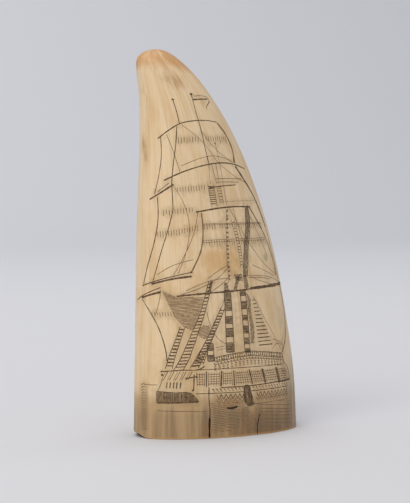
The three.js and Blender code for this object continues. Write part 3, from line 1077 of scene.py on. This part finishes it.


# Sperm whale tooth ivory, scraped and buffed by hand, then aged: cream with long tan streaks and a low
# satin gloss, an orange tip, and grey olive cementum left on the root, darkened low down by painted shade.
toothIvory = {
    "name": "buffedToothIvory",
    "base": "#dfc6a0",
    "roughness": (0.36, 0.52),
    "patterns": {       # size across and along the tooth, mm; detail
        "streaks": (0.9, 26, 4),
        "bands": (3.4, 60, 3),
        "clouds": (13, 24, 4),
        "mottle": (3.2, 4.5, 5),
        "flutes": (4.6, 70, 3),
        "grit": (0.55, 0.8, 2),         # real scratches are finer, drawn as coarse as shows
    },
    "layers": [
        {"colour": "#cfae7e", "pattern": "clouds", "from": 0.42, "to": 0.72, "amount": 0.75},
        {"colour": "#d3b083", "pattern": "mottle", "from": 0.5, "to": 0.8, "amount": 0.35},
        {"colour": "#c6a575", "pattern": "streaks", "from": 0.48, "to": 0.72, "amount": 0.55},
        {"colour": "#e7d4b4", "pattern": "bands", "from": 0.55, "to": 0.75, "amount": 0.5},
        {"colour": "#a98a5e", "pattern": "flutes", "mask": (26, 9), "ragged": 0.9, "from": 0.6, "to": 1.2,
         "amount": 0.8},
        {"colour": "#7d6444", "pattern": "flutes", "mask": (18, 9), "ragged": 3.2, "from": 2.0, "to": 3.3,
         "amount": 0.8},
        {"colour": "#bb8444", "pattern": "clouds", "mask": (146, 156), "ragged": 1.6, "from": 1.15, "to": 1.9,
         "amount": 0.75},
        {"colour": "#a5783f", "pattern": "mottle", "mask": (147, 158), "ragged": 2.4, "from": 2.1, "to": 2.6,
         "amount": 0.5},
        {"colour": "#a06f3c", "pattern": "mottle", "mask": "brown", "ragged": 1.2, "from": 0.85, "to": 1.5,
         "amount": 0.6},
        {"colour": "#c08a35", "pattern": "mottle", "mask": "ochre", "ragged": 0.9, "from": 0.6, "to": 1.3,
         "amount": 0.55},
        {"colour": "#74804a", "pattern": "mottle", "mask": "green", "ragged": 0.8, "from": 0.7, "to": 1.5,
         "amount": 0.6},
        {"colour": "#8c7048", "pattern": "mottle", "mask": "rubbed", "ragged": 0.9, "from": 0.9, "to": 1.7,
         "amount": 0.3},
        # dark olive brown low round the foot, partly painted shade
        {"colour": "#65543a", "pattern": "flutes", "mask": "olive", "ragged": 1.5, "from": 0.8, "to": 2.0,
         "amount": 0.8},
        # orange tan band round the worn foot edge: painted glow of light through the thin ivory
        {"colour": "#c08c50", "pattern": "flutes", "mask": (1.4, 0.4), "ragged": 0.8, "from": 0.5, "to": 1.3,
         "amount": 0.5},
    ],
    "roughBy": "clouds",
    "reliefBy": "grit",
    "relief": 0.05,     # mm
}

# Lampblack and oil rubbed into a knife cut: soft matt black brown, thin enough in places for ivory to show.
lampblack = {
    "name": "lampblackInCut",
    "base": "#6b5237",
    "roughness": (0.7, 0.85),
    "patterns": {"wear": (1.6, 2.2, 3)},
    "layers": [
        {"colour": "#402e1c", "pattern": "wear", "from": 0.38, "to": 0.55, "amount": 0.85},
        {"colour": "#a3845a", "pattern": "wear", "from": 0.55, "to": 0.68, "amount": 0.75},
    ],
    "roughBy": "wear",
    "reliefBy": "wear",
    "relief": 0.03,
}

# The same lampblack in a shallow scratch, mostly polished out again.
wornLampblack = {
    "name": "wornLampblack",
    "base": "#8d6f4a",
    "roughness": (0.6, 0.75),
    "patterns": {"wear": (1.8, 2.4, 3)},
    "layers": [
        {"colour": "#6a5136", "pattern": "wear", "from": 0.35, "to": 0.52, "amount": 0.8},
        {"colour": "#b39265", "pattern": "wear", "from": 0.58, "to": 0.75, "amount": 0.7},
    ],
    "roughBy": "wear",
    "reliefBy": "wear",
    "relief": 0.02,
}

# Dentine split by drying: a dark brown dirty cleft with dry, rough walls.
driedSplit = {
    "name": "driedDentineSplit",
    "base": "#3a2010",
    "roughness": (0.85, 0.95),
    "patterns": {"dirt": (0.8, 3, 4)},
    "layers": [
        {"colour": "#1b0e07", "pattern": "dirt", "from": 0.4, "to": 0.6, "amount": 0.9},
        {"colour": "#6b4527", "pattern": "dirt", "from": 0.6, "to": 0.75, "amount": 0.6},
    ],
    "roughBy": "dirt",
    "reliefBy": "dirt",
    "relief": 0.15,
}

# Dentine sawn across the root and worn by standing: growth rings in tan and brown, matt.
sawnDentine = {
    "name": "sawnDentine",
    "base": "#b98f5c",
    "roughness": (0.55, 0.7),
    "patterns": {"dirt": (2.4, 4, 4), "saw": (0.5, 3, 2)},
    "layers": [
        {"colour": "#cdb087", "pattern": "dirt", "from": 0.35, "to": 0.55, "amount": 0.8},
        {"colour": "#84613a", "pattern": "dirt", "from": 0.55, "to": 0.7, "amount": 0.7},
        {"colour": "#7b5c3b", "pattern": "saw", "from": 0.5, "to": 0.75, "amount": 0.5},
    ],
    "roughBy": "dirt",
    "reliefBy": "saw",
    "relief": 0.1,
}

# Dentine broken away at the rim: rough, deep brown with near-black painted shade under the lifted edge,
# lighter where it is worn.
brokenDentine = {
    "name": "brokenDentine",
    "base": "#6d4c2c",
    "roughness": (0.8, 0.9),
    "patterns": {"dirt": (1.4, 2, 4)},
    "layers": [
        # near-black patches: painted shade under the chipped edge
        {"colour": "#2c1a0d", "pattern": "dirt", "from": 0.42, "to": 0.6, "amount": 0.85},
        {"colour": "#a37c4c", "pattern": "dirt", "from": 0.6, "to": 0.78, "amount": 0.7},
    ],
    "roughBy": "dirt",
    "reliefBy": "dirt",
    "relief": 0.2,
}

# Natural wall of the pulp cavity: unpolished, ringed as it grew, brown with old tissue and dust.
pulpWall = {
    "name": "pulpCavityDentine",
    "base": "#94744a",
    "roughness": (0.75, 0.9),
    "patterns": {"rings": (40, 2.2, 3), "dirt": (5, 9, 4)},
    "layers": [
        {"colour": "#b7976a", "pattern": "rings", "from": 0.45, "to": 0.65, "amount": 0.6},
        {"colour": "#5a4128", "pattern": "dirt", "from": 0.45, "to": 0.68, "amount": 0.8},
    ],
    "roughBy": "dirt",
    "reliefBy": "rings",
    "relief": 0.2,
}


def plainMaterial(name, colour, roughness):
    material, tree, shader = newMaterial(name, roughness)
    shader.inputs["Base Color"].default_value = linearColour(colour)
    return material


ivory, ivoryShader = layeredMaterial(toothIvory)
ivoryShader.inputs["Subsurface Weight"].default_value = 0.12
ivoryShader.inputs["Subsurface Radius"].default_value = (1.0, 0.55, 0.3)
ivoryShader.inputs["Subsurface Scale"].default_value = 2 * mm
materials = {
    "ivory": ivory,
    "ink": layeredMaterial(lampblack)[0],
    "wornInk": layeredMaterial(wornLampblack)[0],
    "crack": layeredMaterial(driedSplit)[0],
    "cutRoot": layeredMaterial(sawnDentine)[0],
    "brokenRoot": layeredMaterial(brokenDentine)[0],
    "pulpWall": layeredMaterial(pulpWall)[0],
}
tooth = buildSkin(materials)
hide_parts("tooth")
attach(tooth, "root")
print("skin built:", len(tooth.data.polygons), "faces")


# pale paper sweep and soft panels
studio = {
    "paper": "#d2d3d7",
    "sweep": {"width": 16, "front": -12, "back": 1.6, "bend": 1.2, "top": 4},     # metres
    "world": "#f4f4f8",
    "worldStrength": 0.68,
    "panels": [     # place, size in metres, watts, colour
        ((-1.3, -1.0, 1.3), 1.2, 19, "#fff8ec"),
    ],
    "backPanel": ((0, 0.5, 2.4), (0, 2.8, 0.9), 2, 27, "#ffffff"),      # place, aim, size, watts, colour
}


def buildSweep():
    sweep = studio["sweep"]
    profile = [(sweep["front"], 0), (sweep["back"], 0)]
    for k in range(1, 13):
        turn = math.pi / 2 * k / 12
        profile.append((sweep["back"] + sweep["bend"] * math.sin(turn), sweep["bend"] * (1 - math.cos(turn))))
    profile.append((profile[-1][0], sweep["top"]))
    half = sweep["width"] / 2
    points = [(x, y, z) for y, z in profile for x in (-half, half)]
    faces = [(2 * i, 2 * i + 1, 2 * i + 3, 2 * i + 2) for i in range(len(profile) - 1)]
    mesh = bpy.data.meshes.new("paperSweep")
    mesh.from_pydata(points, [], faces)
    mesh.polygons.foreach_set("use_smooth", [True] * len(faces))
    mesh.materials.append(plainMaterial("mattPaper", studio["paper"], 0.95))
    piece = bpy.data.objects.new("paperSweep", mesh)
    bpy.context.scene.collection.objects.link(piece)


def buildLights():
    world = bpy.data.worlds.new("studio")
    bpy.context.scene.world = world
    world.use_nodes = True
    ground = world.node_tree.nodes["Background"]
    ground.inputs["Color"].default_value = linearColour(studio["world"])
    ground.inputs["Strength"].default_value = studio["worldStrength"]
    middle = (0, 0, toothHeight * mm / 2)
    panels = [(place, middle, size, watts, colour) for place, size, watts, colour in studio["panels"]]
    for i, (place, aim, size, watts, colour) in enumerate(panels + [studio["backPanel"]]):
        data = bpy.data.lights.new(f"panel{i + 1}", "AREA")
        data.energy = watts
        data.size = size
        data.color = linearColour(colour)[:3]
        panel = bpy.data.objects.new(data.name, data)
        panel.location = place
        panel.rotation_euler = (Vector(place) - Vector(aim)).to_track_quat("Z", "Y").to_euler()
        bpy.context.scene.collection.objects.link(panel)


buildSweep()
buildLights()
bpy.context.scene.view_settings.view_transform = "Standard"
print("studio set")

bpy.context.view_layer.update()
